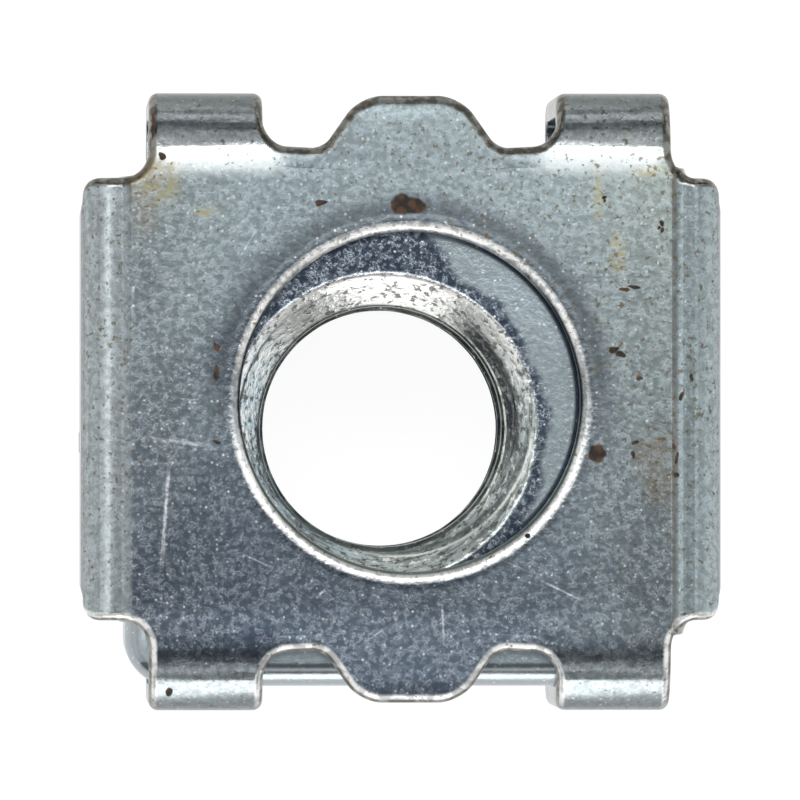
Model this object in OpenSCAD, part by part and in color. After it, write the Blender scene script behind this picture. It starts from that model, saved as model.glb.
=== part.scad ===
// Cage nut for a square rack hole: a square nut held loosely in a folded spring cage.
// Millimetres. The cage's rear plate faces up (+Z) and the two ears stand on Z = 0,
// so the screw comes up into the nut from below. X runs across the two wings and
// Y across the four corner tabs. The wings are centred on X = 0, the tabs on Y = 0.

/* [Square nut] */

// Minor diameter of the tapped bore
thread_bore = 4.95; // [4.8:0.05:5.2]
// Width of the nut across its flats
nut_across = 10.8; // [10.8:0.05:11.1]
// Thickness of the nut
nut_thickness = 4.4; // [3.6:0.1:5.0]
// Radius of the nut's four upright corners
nut_corner = 1.0; // [0.6:0.1:1.6]
// Rounding of the edges round both faces
nut_edge = 0.4; // [0.4:0.05:0.6]
// Diameter of the countersink at each face
countersink = 6.56; // [5.8:0.02:7.2]
// Angle that the countersink includes
countersink_angle = 90; // [80:5:120]

/* [Where the nut lies in the cage] */

// Room between the nut and a side wall, each side of a centred nut
wing_room = 0.79; // [0.79:0.01:1.1]
// Room between the nut and a tab, each side of a centred nut
tab_room = 0.56; // [0.5:0.01:0.8]
// How far the nut has slid sideways, towards -X
nut_slide = 0.37; // [0:0.01:0.6]
// Gap between the nut and the tabs it leans on
nut_gap = 0.01; // [0.01:0.01:0.5]
// Play between the nut and the rear plate
nut_play = 0.25; // [0.2:0.05:0.6]

/* [Cage sheet] */

// Thickness of the sheet
sheet = 0.5; // [0.4:0.05:0.55]
// How far the blank was folded off centre, towards +X
blank_shift = 0.18; // [0:0.02:0.18]
// How far the blank was folded off centre, towards +Y
blank_rise = 0.05; // [0:0.01:0.06]
// Diameter of the clearance hole in the rear plate
hole_diameter = 7.1; // [6.8:0.1:8.0]
// Rounding that the punch left round the hole
hole_rim = 0.18; // [0.1:0.02:0.3]

/* [Corner tabs] */

// Width of each tab
tab_width = 2.38; // [2.0:0.02:2.38]
// Distance from the hole's axis to the near side of a tab
tab_offset = 3.07; // [2.9:0.01:3.07]
// Inside radius where a tab folds down
tab_bend = 0.7; // [0.6:0.05:0.8]
// Inside radius where a tab's lip folds in
lip_bend = 0.3; // [0.2:0.05:0.35]
// Flat length of a tab's lip
lip_length = 0.45; // [0.2:0.05:0.8]

/* [Edge between the tabs] */

// Overall height over the two lobes
lobe_height = 12.66; // [12.4:0.05:13.0]
// Length of a lobe's straight edge
lobe_flat = 1.16; // [0.8:0.05:1.4]
// Radius at the shoulders of a lobe
lobe_radius = 0.9; // [0.6:0.05:0.95]
// Distance across the bottoms of opposite notches
notch_height = 10.48; // [10.3:0.05:10.5]
// Radius from the notch up to the lobe
notch_radius = 0.46; // [0.3:0.02:0.5]
// Radius from the notch up to the tab
notch_corner = 0.5; // [0.3:0.05:0.55]
// Steepness of the lobe's flanks
flank_angle = 55; // [50:1:60]

/* [Wings] */

// Length of a wing along its roll
wing_length = 9.22; // [8.8:0.05:9.3]
// Rounding where a wing narrows below its roll
wing_corner = 0.5; // [0.3:0.05:0.6]
// Rounding of the roll's two ends, seen from above
roll_corner = 0.3; // [0.1:0.05:0.4]
// Radius of the relief between wing and tab
relief_radius = 0.56; // [0.4:0.02:0.6]
// Outside radius of the roll over a wing's edge
roll_radius = 0.7; // [0.65:0.05:0.75]
// Height of the roll above the rear plate
roll_rise = 0.1; // [0.04:0.02:0.12]
// Inside radius where a wing turns in under the nut
shoulder_bend = 0.4; // [0.2:0.05:0.5]

/* [Ears] */

// Side of the square hole in the panel
panel_hole = 9.5; // [9.3:0.1:9.7]
// Gap between the ear's root and the panel hole, each side
panel_gap = 0.1; // [0.05:0.05:0.2]
// Room for the panel between shoulder and hook
grip = 2.7; // [2.0:0.1:3.6]
// Width of an ear
ear_width = 7.4; // [6.0:0.1:8.0]
// Outward lean of an unloaded ear
ear_lean = 5; // [0:1:6]
// Inside radius at the root of an ear
ear_bend = 0.2; // [0.15:0.05:0.3]
// Inside radius where an ear turns out into its hook
hook_bend = 0.4; // [0.3:0.05:0.5]
// Flat length of a hook
hook_length = 1.2; // [0.8:0.05:1.25]
// Downward slope of a hook
hook_slope = 6; // [2:1:12]
// Corner radius of a hook
hook_corner = 0.7; // [0.3:0.1:1.0]
// Width of the cut-off nib on a hook
nib_width = 0.5; // [0.3:0.05:0.8]
// Length of the cut-off nib on a hook
nib_length = 0.32; // [0.1:0.02:0.32]
// Distance of the nib from the middle of the hook
nib_offset = 0.85; // [0:0.05:1.5]

/* [Hidden] */

$fn = 96;

half = sheet / 2;
eps = 0.01;
far = 20;

// The cage is folded round the nut
cage_width = nut_across + 2 * (sheet + wing_room);
cage_height = nut_across + 2 * (sheet + tab_room);

// Radii of the sheet's middle at each bend
shoulder_mid = shoulder_bend + half;
ear_mid = ear_bend + half;
hook_mid = hook_bend + half;
tab_mid = tab_bend + half;
lip_mid = lip_bend + half;

// The ear, measured from the middle of the shoulder's sheet
ear_straight = (grip + half * (1 + cos(hook_slope)) - ear_mid * (1 + sin(ear_lean))
    - hook_mid * (cos(hook_slope) - sin(ear_lean))) / cos(ear_lean);
hook_drop = (hook_length + nib_length) * sin(hook_slope) + sheet * cos(hook_slope);
panel_z = grip + hook_drop;
seat_z = panel_z + sheet;

// Levels of the nut and of the rear plate
nut_top_z = seat_z + nut_thickness;
plate_low_z = nut_top_z + nut_play;
plate_mid_z = plate_low_z + half;
plate_top_z = plate_low_z + sheet;

// The wing, from its crease to the root of the ear
roll_x = cage_width / 2 - roll_radius;
roll_z = plate_top_z + roll_rise - roll_radius;
crease_x = roll_x - sqrt(roll_radius ^ 2 - (roll_radius - roll_rise) ^ 2);
shoulder_x = cage_width / 2 - sheet - shoulder_bend;
shoulder_z = panel_z + sheet + shoulder_bend;
ear_root_x = panel_hole / 2 - panel_gap - half + ear_mid;
wall_length = wing_length - 2 * wing_corner;
hook_tip_x = ear_root_x - ear_mid * cos(ear_lean) + ear_straight * sin(ear_lean)
    + hook_mid * (cos(ear_lean) - sin(hook_slope)) + hook_length * cos(hook_slope);

// The tab, from the plate to the end of its lip
tab_wall_y = cage_height / 2 - half;
tab_root_y = tab_wall_y - tab_mid;
tab_wall = plate_mid_z - tab_mid - (seat_z - half) - lip_mid;
tab_far = tab_offset + tab_width;

// The nut leans on the two lower tabs
nut_y = -(tab_room - nut_gap);
sink_depth = (countersink - thread_bore) / 2 / tan(countersink_angle / 2);

// Straight part of a lobe's flank, and where its ends lie
lobe_top_y = lobe_height / 2;
notch_y = notch_height / 2;
flank_rise = lobe_top_y - notch_y - (lobe_radius + notch_radius) * (1 - cos(flank_angle));
flank = flank_rise / sin(flank_angle);
notch_x = lobe_flat / 2 + (lobe_radius + notch_radius) * sin(flank_angle)
    + flank * cos(flank_angle);

// Each step of a strip: straight length, turn to the left, inside radius of the turn
ear_steps = [[eps, 90 + ear_lean, ear_bend],
             [ear_straight, 90 - ear_lean - hook_slope, hook_bend],
             [hook_length, 0, 0]];
tab_steps = [[eps, -90, tab_bend],
             [tab_wall, -90, lip_bend],
             [lip_length, 0, 0]];

// A ring sector that turns the sheet, drawn from the origin with the sheet heading +X
module turned_sheet(turn, inner) {
    side = turn > 0 ? 1 : -1;
    middle = inner + half;
    reach = 2 * (inner + sheet);
    translate([0, side * middle])
        intersection() {
            difference() {
                circle(r = inner + sheet);
                circle(r = inner);
            }
            polygon([[0, 0],
                     for (k = [0:3]) reach * [sin(turn * k / 3) * side,
                                              -cos(turn * k / 3) * side]]);
        }
}

// The folded sheet's edge, step by step, from the origin with the sheet heading +X
module folded_strip(steps, i = 0) {
    straight = steps[i][0];
    turn = steps[i][1];
    middle = (turn > 0 ? 1 : -1) * (steps[i][2] + half);
    if (straight > 0)
        translate([0, -half]) square([straight, sheet]);
    if (turn != 0)
        translate([straight, 0]) turned_sheet(turn, steps[i][2]);
    if (i + 1 < len(steps))
        translate([straight, middle]) rotate(turn) translate([0, -middle])
            folded_strip(steps, i + 1);
}

// Half of a lobe: its middle, its rounded shoulder, its flank and the notch beside it
module lobe_half() {
    low = notch_y - lobe_radius;
    shoulder = [lobe_flat / 2, lobe_top_y - lobe_radius];
    notch = [notch_x, notch_y + notch_radius];
    on_lobe = shoulder + lobe_radius * [sin(flank_angle), cos(flank_angle)];
    on_notch = notch - notch_radius * [sin(flank_angle), cos(flank_angle)];
    difference() {
        union() {
            translate([0, low]) square([lobe_flat / 2, lobe_top_y - low]);
            intersection() {
                translate(shoulder) circle(r = lobe_radius);
                translate([lobe_flat / 2, low]) square([far, far]);
            }
            polygon([[lobe_flat / 2, low], shoulder, on_lobe, on_notch,
                     [notch_x, notch_y], [notch_x, low]]);
        }
        translate(notch) circle(r = notch_radius);
    }
}

// Plan of one quarter of the blank: plate, wing, tab, and the lobe's half
module quarter_plan(tab_shift) {
    near = tab_offset + tab_shift;
    edge = tab_far + tab_shift;
    relief = wing_length / 2 + relief_radius;
    wing_tip = [cage_width / 2 - roll_corner, wing_length / 2 - roll_corner];
    difference() {
        union() {
            square([wing_tip[0], wing_length / 2]);
            square([cage_width / 2, wing_tip[1]]);
            translate(wing_tip) circle(r = roll_corner);
            square([edge + relief_radius, relief]);
            square([near, notch_y]);
            translate([near - notch_corner, 0])
                square([tab_width + notch_corner, notch_y + notch_corner]);
            translate([near, 0]) square([tab_width, far]);
        }
        translate([edge + relief_radius, relief]) circle(r = relief_radius);
        translate([near - notch_corner, notch_y + notch_corner]) circle(r = notch_corner);
    }
    translate([tab_shift, 0]) lobe_half();
}

module blank_plan() {
    translate([0, blank_rise])
        for (y = [0, 1]) mirror([0, y]) {
            quarter_plan(blank_shift);
            mirror([1, 0]) quarter_plan(-blank_shift);
        }
}

// The flat rear plate with its clearance hole
module rear_plate() {
    hole = hole_diameter / 2;
    difference() {
        translate([0, 0, plate_low_z])
            linear_extrude(sheet)
                intersection() {
                    blank_plan();
                    union() {
                        square([2 * crease_x, 2 * tab_root_y], center = true);
                        translate([blank_shift, 0])
                            square([2 * notch_x, 2 * far], center = true);
                    }
                }
        translate([blank_shift, 0, 0]) {
            translate([0, 0, plate_low_z - eps]) cylinder(r = hole, h = 2 * sheet);
            translate([0, 0, plate_top_z - hole_rim])
                rotate_extrude()
                    difference() {
                        translate([hole - eps, 0]) square([hole_rim + eps, 2 * hole_rim]);
                        translate([hole + hole_rim, 0]) circle(r = hole_rim);
                    }
        }
    }
}

// Both tabs on the +Y side, folded over the nut's edge
module tab_pair(rise) {
    for (side = [0, 1])
        translate([blank_shift, 0, 0]) mirror([side, 0, 0]) {
            tab_strip(tab_offset, tab_width, tab_steps);
            intersection() {
                tab_strip(tab_offset - notch_corner, notch_corner + eps, [tab_steps[0]]);
                linear_extrude(far) translate([0, rise]) notch_fillet();
            }
        }
}

// A strip of the given width, folded from the plate's +Y edge
module tab_strip(start, width, steps) {
    translate([start, tab_root_y - eps, plate_mid_z])
        rotate([90, 0, 90]) linear_extrude(width) folded_strip(steps);
}

// Plan of the fillet between a notch and the tab beside it
module notch_fillet() {
    corner = [tab_offset - notch_corner, notch_y + notch_corner];
    difference() {
        translate([corner[0], 0]) square([2 * notch_corner, corner[1]]);
        translate(corner) circle(r = notch_corner);
    }
}

// Both wings: crease, roll, side wall and the shoulder under the nut
module wings() {
    intersection() {
        for (x = [0, 1]) mirror([x, 0, 0])
            rotate([90, 0, 0])
                linear_extrude(2 * tab_root_y, center = true) wing_section();
        linear_extrude(far) blank_plan();
        union() {
            rotate([90, 0, 90])
                linear_extrude(far, center = true) translate([blank_rise, 0]) wing_side();
            translate([0, 0, plate_low_z + far / 2])
                cube([cage_width - 2 * sheet - eps, far, far], center = true);
        }
    }
}

// The wing's section: the roll rises out of the plate, and the crease lies between them
module wing_section() {
    difference() {
        union() {
            translate([crease_x - eps, plate_low_z])
                square([roll_x - crease_x + eps, sheet]);
            intersection() {
                translate([roll_x, roll_z]) circle(r = roll_radius);
                union() {
                    translate([roll_x, roll_z]) square([far, far]);
                    translate([0, plate_low_z]) square([roll_x, far]);
                }
            }
        }
        translate([roll_x, roll_z]) circle(r = roll_radius - sheet);
    }
    translate([cage_width / 2 - sheet, shoulder_z]) square([sheet, roll_z - shoulder_z]);
    intersection() {
        translate([shoulder_x, shoulder_z]) difference() {
            circle(r = shoulder_bend + sheet);
            circle(r = shoulder_bend);
        }
        translate([shoulder_x, 0]) square([far, shoulder_z]);
    }
    translate([ear_root_x, panel_z]) square([shoulder_x - ear_root_x, sheet]);
}

// The wing seen from the side: full length at the roll, narrower down the wall
module wing_side() {
    upper = plate_top_z - wing_corner / 3;
    translate([-wing_length / 2, upper]) square([wing_length, far]);
    for (side = [-1, 1])
        translate([side * wall_length / 2, upper]) circle(r = wing_corner);
    translate([-wall_length / 2, 0]) square([wall_length, upper]);
}

// The ear on the +X side, with its outward hook and the cut-off nib
module ear() {
    tip = hook_tip_x - half * sin(hook_slope);
    intersection() {
        translate([ear_root_x + eps, 0, panel_z + half])
            rotate([90, 0, 0])
                linear_extrude(ear_width, center = true)
                    rotate(180) folded_strip(ear_steps);
        linear_extrude(far) hook_plan(tip);
    }
    translate([hook_tip_x, -nib_offset, nib_length * sin(hook_slope) + half * cos(hook_slope)])
        rotate([0, hook_slope, 0])
            translate([-hook_corner, -nib_width / 2, -half])
                cube([hook_corner + nib_length, nib_width, sheet]);
}

// The ear from above, with the two outer corners of its hook rounded off
module hook_plan(tip) {
    side = ear_width / 2 - hook_corner;
    translate([0, -ear_width / 2]) square([tip - hook_corner, ear_width]);
    translate([0, -side]) square([far, 2 * side]);
    for (y = [-side, side])
        translate([tip - hook_corner, y]) circle(r = hook_corner);
}

module spring_cage() {
    color("lightsteelblue") {
        rear_plate();
        tab_pair(blank_rise);
        mirror([0, 1, 0]) tab_pair(-blank_rise);
        wings();
        for (x = [0, 1]) mirror([x, 0, 0]) ear();
    }
}

// A rounded square, drawn as two bars and four corner circles
module rounded_square(x, y, r) {
    square([x, y - 2 * r], center = true);
    square([x - 2 * r, y], center = true);
    for (i = [-1, 1], j = [-1, 1])
        translate([i * (x / 2 - r), j * (y / 2 - r)]) circle(r = r);
}

module square_nut() {
    middle_z = seat_z + nut_thickness / 2;
    color("silver")
        translate([-nut_slide, nut_y, middle_z])
            difference() {
                intersection() {
                    linear_extrude(nut_thickness, center = true)
                        rounded_square(nut_across, nut_across, nut_corner);
                    rotate([90, 0, 0])
                        linear_extrude(nut_across, center = true)
                            rounded_square(nut_across, nut_thickness, nut_edge);
                    rotate([90, 0, 90])
                        linear_extrude(nut_across, center = true)
                            rounded_square(nut_across, nut_thickness, nut_edge);
                }
                cylinder(d = thread_bore, h = 2 * nut_thickness, center = true);
                for (side = [0, 1])
                    mirror([0, 0, side])
                        translate([0, 0, nut_thickness / 2 - sink_depth])
                            cylinder(d1 = thread_bore, h = 2 * sink_depth,
                                     d2 = 2 * countersink - thread_bore);
            }
}

spring_cage();
square_nut();
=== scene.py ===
import math
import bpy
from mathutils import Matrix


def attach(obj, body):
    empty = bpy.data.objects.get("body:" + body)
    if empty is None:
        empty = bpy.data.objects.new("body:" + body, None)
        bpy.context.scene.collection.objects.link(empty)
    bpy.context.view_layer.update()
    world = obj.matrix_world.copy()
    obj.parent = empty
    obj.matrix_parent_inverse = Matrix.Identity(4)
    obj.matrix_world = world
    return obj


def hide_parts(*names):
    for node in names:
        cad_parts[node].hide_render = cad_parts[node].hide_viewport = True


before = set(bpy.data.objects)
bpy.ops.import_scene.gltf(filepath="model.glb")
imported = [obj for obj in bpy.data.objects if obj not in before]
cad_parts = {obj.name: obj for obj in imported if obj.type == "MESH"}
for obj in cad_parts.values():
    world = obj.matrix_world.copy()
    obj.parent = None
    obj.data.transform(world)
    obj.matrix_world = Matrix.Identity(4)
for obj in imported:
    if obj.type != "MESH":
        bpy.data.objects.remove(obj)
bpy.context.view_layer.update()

from types import SimpleNamespace

import bmesh
import bpy
from mathutils import Matrix, Vector

mm = 0.001      # all sizes below are in millimetres
weld = 0.0005   # points nearer than this are merged
touch = 1e-5    # a cut this near to a point goes through it

# The cage is one blank of spring steel, drawn flat here and folded afterwards
cage = {
    "sheet": 0.5,
    "plateTop": 9.006,
    "shift": 0.18,                # hole, tabs and lobes sit this far towards +X
    "rise": 0.05,                 # the outline sits this far towards +Y
    "hole": 3.55,
    "holeRoom": 0.4,              # what lies this near to the hole belongs to it
    "lobe": (1.0485, 6.33, 0.9),  # where the straight edges would meet, and the rounding
    "notch": (1.8117, 5.24, 0.46),
    "lobeHalf": 2.0,
    "tabNear": 3.07,
    "tabFar": 5.45,
    "tabFillet": 0.5,
    "tabEase": (1.9, 1.1),        # the fold eases in from here, over this width
    "lipCorner": 0.25,
    "relief": 0.56,
    "wingEnd": 4.61,
    "wingCorner": 0.42,
    "wallEnd": 4.11,
    "wallCorner": 0.07,
    "earEnd": 3.7,
    "earFillet": 0.2,
    "earRoom": 0.1,               # the ear's sides start this far past the bend above them
    "hookCorner": 0.7,
    "nibSides": (-0.6, -1.1),
    "nibLength": 0.32,
    "nibFoot": 0.05,
    "nibCorner": 0.06,
    "wingRoot": 0.08,             # radii and places on the upper face, as the bends are seen from above
    "crestAt": 5.99,
    "crestRoll": 0.7,
    "crestSeen": 20,              # degrees past the crest that are still seen
    "tabSoft": 2.65,
    "tabRoll": 1.367,
    "tabSeen": 36,
    "punchRoll": 0.2,             # the punch drew this edge down
    "holeRoll": 0.2,
    "lowEdge": 0.05,
    "wornEdge": 0.08,             # how deep the rim's wear, dirt, painted shade and painted highlight go
    "tabStart": 4.87,             # the tabs bend down from here
    "tipStart": 5.80,             # the lobes' tips droop from here
    "tipDroop": 0.33,
    "tipStep": 0.06,
    "fineTurn": 7,                # degrees between two cuts across a bend
}

# Steps along a strip: length of the sheet's middle, then how far it turns up, in degrees
wingPath = [
    (5.608, 0), (0.1688, 29.3), (0.9370, -119.3), (4.150, 0), (1.0210, -90),
    (0.940, 0), (0.7461, 95), (2.128, 0), (0.8962, 79), (1.2, 0),
]
tabPath = [
    (4.55, 0), (0.32, -2.5), (0.4189, -7.5), (1.0, -45), (0.342, -35), (3.715, 0), (0.8639, -90), (0.450, 0),
]


def walk(path, distance):
    # where a point of the flat strip ends up once it is folded
    x = z = heading = 0.0
    for step, (length, turn) in enumerate(path):
        part = distance if step == len(path) - 1 else min(distance, length)
        if turn:
            radius = length / math.radians(turn)
            angle = part / radius
            x += radius * (math.sin(heading + angle) - math.sin(heading))
            z -= radius * (math.cos(heading + angle) - math.cos(heading))
            heading += angle
        else:
            x += part * math.cos(heading)
            z += part * math.sin(heading)
        distance -= part
        if distance <= 0:
            break
    return x, z, heading


def reach(path, steps=None):
    return sum(length for length, turn in path[:steps])


# The outline is drawn as it is seen from above. These two find it on the flat blank.
def unrollWing(x):
    start, (length, turn) = wingPath[0][0], wingPath[1]
    crest, roll, climb = cage["crestAt"], cage["crestRoll"], math.radians(turn)
    foot = crest - roll * math.sin(climb)
    if x <= start:
        return x
    if x <= foot:
        return start + length * math.asin(min(1, (x - start) / cage["wingRoot"])) / climb
    last = crest + roll * math.sin(math.radians(cage["crestSeen"]))
    angle = math.asin((min(x, last) - crest) / roll)
    return start + length + (roll - cage["sheet"] / 2) * (angle + climb) + max(0, x - last)


def unrollTab(y):
    start, soft, bend, half = cage["tabStart"], cage["tabSoft"], cage["tabRoll"], cage["sheet"] / 2
    turn = -math.radians(tabPath[1][1] + tabPath[2][1])
    if y <= start:
        return y
    knee = start + soft * math.sin(turn)
    if y <= knee:
        return start + (soft - half) * math.asin((y - start) / soft)
    centre = knee - bend * math.sin(turn)
    last = centre + bend * math.sin(math.radians(cage["tabSeen"]))
    angle = math.asin((min(y, last) - centre) / bend) - turn
    return start + tabPath[2][0] + (bend - half) * angle + max(0, y - last)


def seenFrom(unroll, target):
    # the seen place that unrolls to a given place on the blank, which lies past the seen bends
    bendsEnd, farOut = 6.3, 10.0
    return target + farOut - unroll(farOut) if target > unroll(bendsEnd) else target


def roundedFace(bm, corners, fineness=0.05):
    # corners are x, y and a rounding
    verts = [bm.verts.new((x, y, 0)) for x, y, radius in corners]
    bm.faces.new(verts)
    for vert, (x, y, radius) in zip(verts, corners):
        if not radius:
            continue
        sides = [edge.other_vert(vert).co - vert.co for edge in vert.link_edges]
        inside = sides[0].angle(sides[1])
        turn = math.pi - inside
        bmesh.ops.bevel(
            bm, geom=[vert], offset=radius / math.tan(inside / 2), offset_type="OFFSET",
            segments=max(3, round(radius * turn / fineness)), profile=0.5,
            affect="VERTICES", material=-1)


def blankHalf(bm, side):
    # half of the blank, from the seam at the top lobe to the seam at the bottom lobe
    c = cage
    middle, rise, hole = c["shift"], c["rise"], c["hole"]
    lip = seenFrom(unrollTab, reach(tabPath))
    rollEnd = seenFrom(unrollWing, reach(wingPath, 3))
    earTop = seenFrom(unrollWing, reach(wingPath, 6)) + c["earRoom"]
    hookEnd = seenFrom(unrollWing, reach(wingPath))
    quarter = [
        (c["lobe"][0], c["lobe"][1], c["lobe"][2], "hole"),
        (c["notch"][0], c["notch"][1], c["notch"][2], "hole"),
        (c["tabNear"], c["notch"][1], c["tabFillet"], "hole"),
        (c["tabNear"], lip, c["lipCorner"], "hole"),
        (c["tabFar"], lip, c["lipCorner"], "hole"),
        (c["tabFar"], c["wingEnd"], c["relief"], "hole"),
        (rollEnd, c["wingEnd"], c["wingCorner"], "wing"),
        (rollEnd, c["wallEnd"], c["wallCorner"], "wing"),
        (earTop, c["wallEnd"], c["earFillet"], "wing"),
        (earTop, c["earEnd"], c["earFillet"], "ear"),
        (hookEnd, c["earEnd"], c["hookCorner"], "ear"),
    ]

    def placed(x, y, radius, kind, up):
        # what goes with the hole is shifted with it, and the ears keep to the middle
        across = middle + side * x if kind == "hole" else side * x
        return across, y * up + (0 if kind == "ear" else rise), radius

    low, lower = c["nibSides"]
    nibEnd = hookEnd + c["nibLength"]
    corners = [(middle, rise + c["lobe"][1], 0)]
    corners += [placed(*corner, 1) for corner in quarter]
    corners += [
        (side * hookEnd, low, c["nibFoot"]), (side * nibEnd, low, c["nibCorner"]),
        (side * nibEnd, lower, c["nibCorner"]), (side * hookEnd, lower, c["nibFoot"]),
    ]
    corners += [placed(*corner, -1) for corner in reversed(quarter)]
    corners += [
        (middle, rise - c["lobe"][1], 0), (middle, -hole, 0),
        (middle + side * hole, -hole, hole), (middle + side * hole, hole, hole),
        (middle, hole, 0),
    ]
    roundedFace(bm, corners)


def tabShare(u):
    # 0 under the lobes, 1 in the tabs, and easing across the notches
    start, width = cage["tabEase"]
    return eased(abs(u - cage["shift"]), start, start + width)


def eased(value, low, high):
    share = min(1, max(0, (value - low) / (high - low)))
    return share * share * (3 - 2 * share)


def foldCage(point):
    # folds one point of the flat blank
    u, v, w = point
    flatEnd = tabPath[0][0] if abs(u) < wingPath[0][0] else cage["tabStart"]
    if abs(v) > flatEnd and tabShare(u):
        along, height, heading = walk(tabPath, abs(v))
        along = math.copysign(along - w * math.sin(heading), v)
        folded = Vector((u, along, height + w * math.cos(heading)))
        return Vector((u, v, w)).lerp(folded, tabShare(u))
    along, height, heading = walk(wingPath, abs(u))
    along = math.copysign(along - w * math.sin(heading), u)
    tip = max(0, abs(v - cage["rise"]) - cage["tipStart"]) if abs(u) < cage["lobeHalf"] else 0
    return Vector((along, v, height + w * math.cos(heading) - cage["tipDroop"] * tip * tip))


def newPiece(name, bm):
    # smooth all over, with an edge kept only where the surface really turns
    bmesh.ops.recalc_face_normals(bm, faces=bm.faces)
    for face in bm.faces:
        face.smooth = True
    for edge in bm.edges:
        edge.smooth = len(edge.link_faces) == 2 and edge.calc_face_angle() < math.radians(35)
    mesh = bpy.data.meshes.new(name)
    bm.to_mesh(mesh)
    bm.free()
    piece = bpy.data.objects.new(name, mesh)
    bpy.context.scene.collection.objects.link(piece)
    return piece


def toMetres(piece):
    # flats keep their flat shading, then the piece takes its real size
    modifier = piece.modifiers.new("flats", "WEIGHTED_NORMAL")
    modifier.mode = "FACE_AREA_WITH_ANGLE"
    modifier.keep_sharp = True
    modifier.weight = 100
    graph = bpy.context.evaluated_depsgraph_get()
    mesh = bpy.data.meshes.new_from_object(piece.evaluated_get(graph))
    piece.modifiers.clear()
    piece.data = mesh
    piece.data.transform(Matrix.Scale(mm, 4))
    return piece


def unrollOutline(bm):
    # moves the drawn outline out to where it lies on the flat blank
    for vert in bm.verts:
        x, y, z = vert.co
        if abs(y) > cage["tabStart"] and tabShare(x):
            y += math.copysign(unrollTab(abs(y)) - abs(y), y) * tabShare(x)
        else:
            x = math.copysign(unrollWing(abs(x)), x)
        vert.co = (x, y, cage["sheet"] / 2)


def rimEdges(bm, top, hole):
    # the edges round one face of the blank: those of the hole, or all the others
    middle, limit = Vector((cage["shift"], 0)), cage["hole"] + cage["holeRoom"]
    edges = []
    for edge in bm.edges:
        flat = [face for face in edge.link_faces if abs(face.normal.z) > 0.5]
        if len(edge.link_faces) != 2 or len(flat) != 1 or (flat[0].normal.z > 0) != top:
            continue
        inHole = max((vert.co.xy - middle).length for vert in edge.verts) < limit
        if inHole == hole:
            edges.append(edge)
    return edges


def cutAcross(bm, faces, place, normal):
    # one straight cut through the given faces
    around = dict.fromkeys(item for face in faces for item in (*face.verts, *face.edges, face))
    bmesh.ops.bisect_plane(bm, geom=list(around), dist=touch, plane_co=place, plane_no=normal)


def cutBends(bm):
    # cut the blank across wherever it will bend
    for path, normal in ((wingPath, Vector((1, 0, 0))), (tabPath, Vector((0, 1, 0)))):
        for step, (length, turn) in enumerate(path):
            if not turn:
                continue
            cuts = max(3, math.ceil(abs(turn) / cage["fineTurn"]))
            for k in range(cuts + 1):
                for side in (-1, 1):
                    place = normal * side * (reach(path, step) + length * k / cuts)
                    bmesh.ops.bisect_plane(bm, geom=bm.verts[:] + bm.edges[:] + bm.faces[:], dist=touch,
                                           plane_co=place, plane_no=normal)


def cutEnds(bm):
    # finer cuts across the lobes' tips, and along the ease between a lobe and a tab
    middle, (easeStart, easeWidth) = cage["shift"], cage["tabEase"]
    for k in range(7):
        for side in (-1, 1):
            tips = [face for face in bm.faces if abs(face.calc_center_median().x - middle) < easeStart
                    and abs(face.calc_center_median().y) > cage["tabStart"]]
            out = cage["tipStart"] + cage["tipStep"] * k
            cutAcross(bm, tips, (0, cage["rise"] + side * out, 0), (0, 1, 0))
    for k in range(9):
        for side in (-1, 1):
            ends = [face for face in bm.faces if abs(face.calc_center_median().y) > cage["tabStart"]]
            cutAcross(bm, ends, (middle + side * (easeStart + easeWidth * k / 8), 0, 0), (1, 0, 0))


def makeCage():
    half = cage["sheet"] / 2
    bm = bmesh.new()
    for side in (1, -1):
        blankHalf(bm, side)
    bmesh.ops.remove_doubles(bm, verts=bm.verts, dist=weld)
    unrollOutline(bm)
    bmesh.ops.recalc_face_normals(bm, faces=bm.faces)
    faces = list(bm.faces)
    if faces[0].normal.z < 0:
        bmesh.ops.reverse_faces(bm, faces=faces)
    grown = bmesh.ops.extrude_face_region(bm, geom=faces, use_keep_orig=True)
    lower = [item for item in grown["geom"] if isinstance(item, bmesh.types.BMVert)]
    bmesh.ops.translate(bm, verts=lower, vec=(0, 0, -cage["sheet"]))
    bmesh.ops.recalc_face_normals(bm, faces=bm.faces)

    for top, hole, size, segments in (
            (True, False, cage["punchRoll"], 5), (True, True, cage["holeRoll"], 5),
            (False, False, cage["lowEdge"], 2), (False, True, cage["lowEdge"], 2)):
        bmesh.ops.bevel(bm, geom=rimEdges(bm, top, hole), offset=size, offset_type="OFFSET",
                        segments=segments, profile=0.5, affect="EDGES", clamp_overlap=False, material=-1)

    # remembers how near a point is to the punched edge, for wear, dirt, painted shade and painted highlight
    edgeLayer = bm.verts.layers.float.new("edge")
    for vert in bm.verts:
        vert[edgeLayer] = min(1, (half - abs(vert.co.z)) / cage["wornEdge"])

    cutBends(bm)
    cutEnds(bm)
    bmesh.ops.triangulate(bm, faces=bm.faces, quad_method="BEAUTY", ngon_method="BEAUTY")
    for vert in bm.verts:
        vert.co = foldCage(vert.co)
        vert.co.z += cage["plateTop"] - half
    return toMetres(newPiece("cageSheet", bm))


cageSheet = makeCage()
print("cage folded:", len(cageSheet.data.polygons), "faces")

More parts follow.
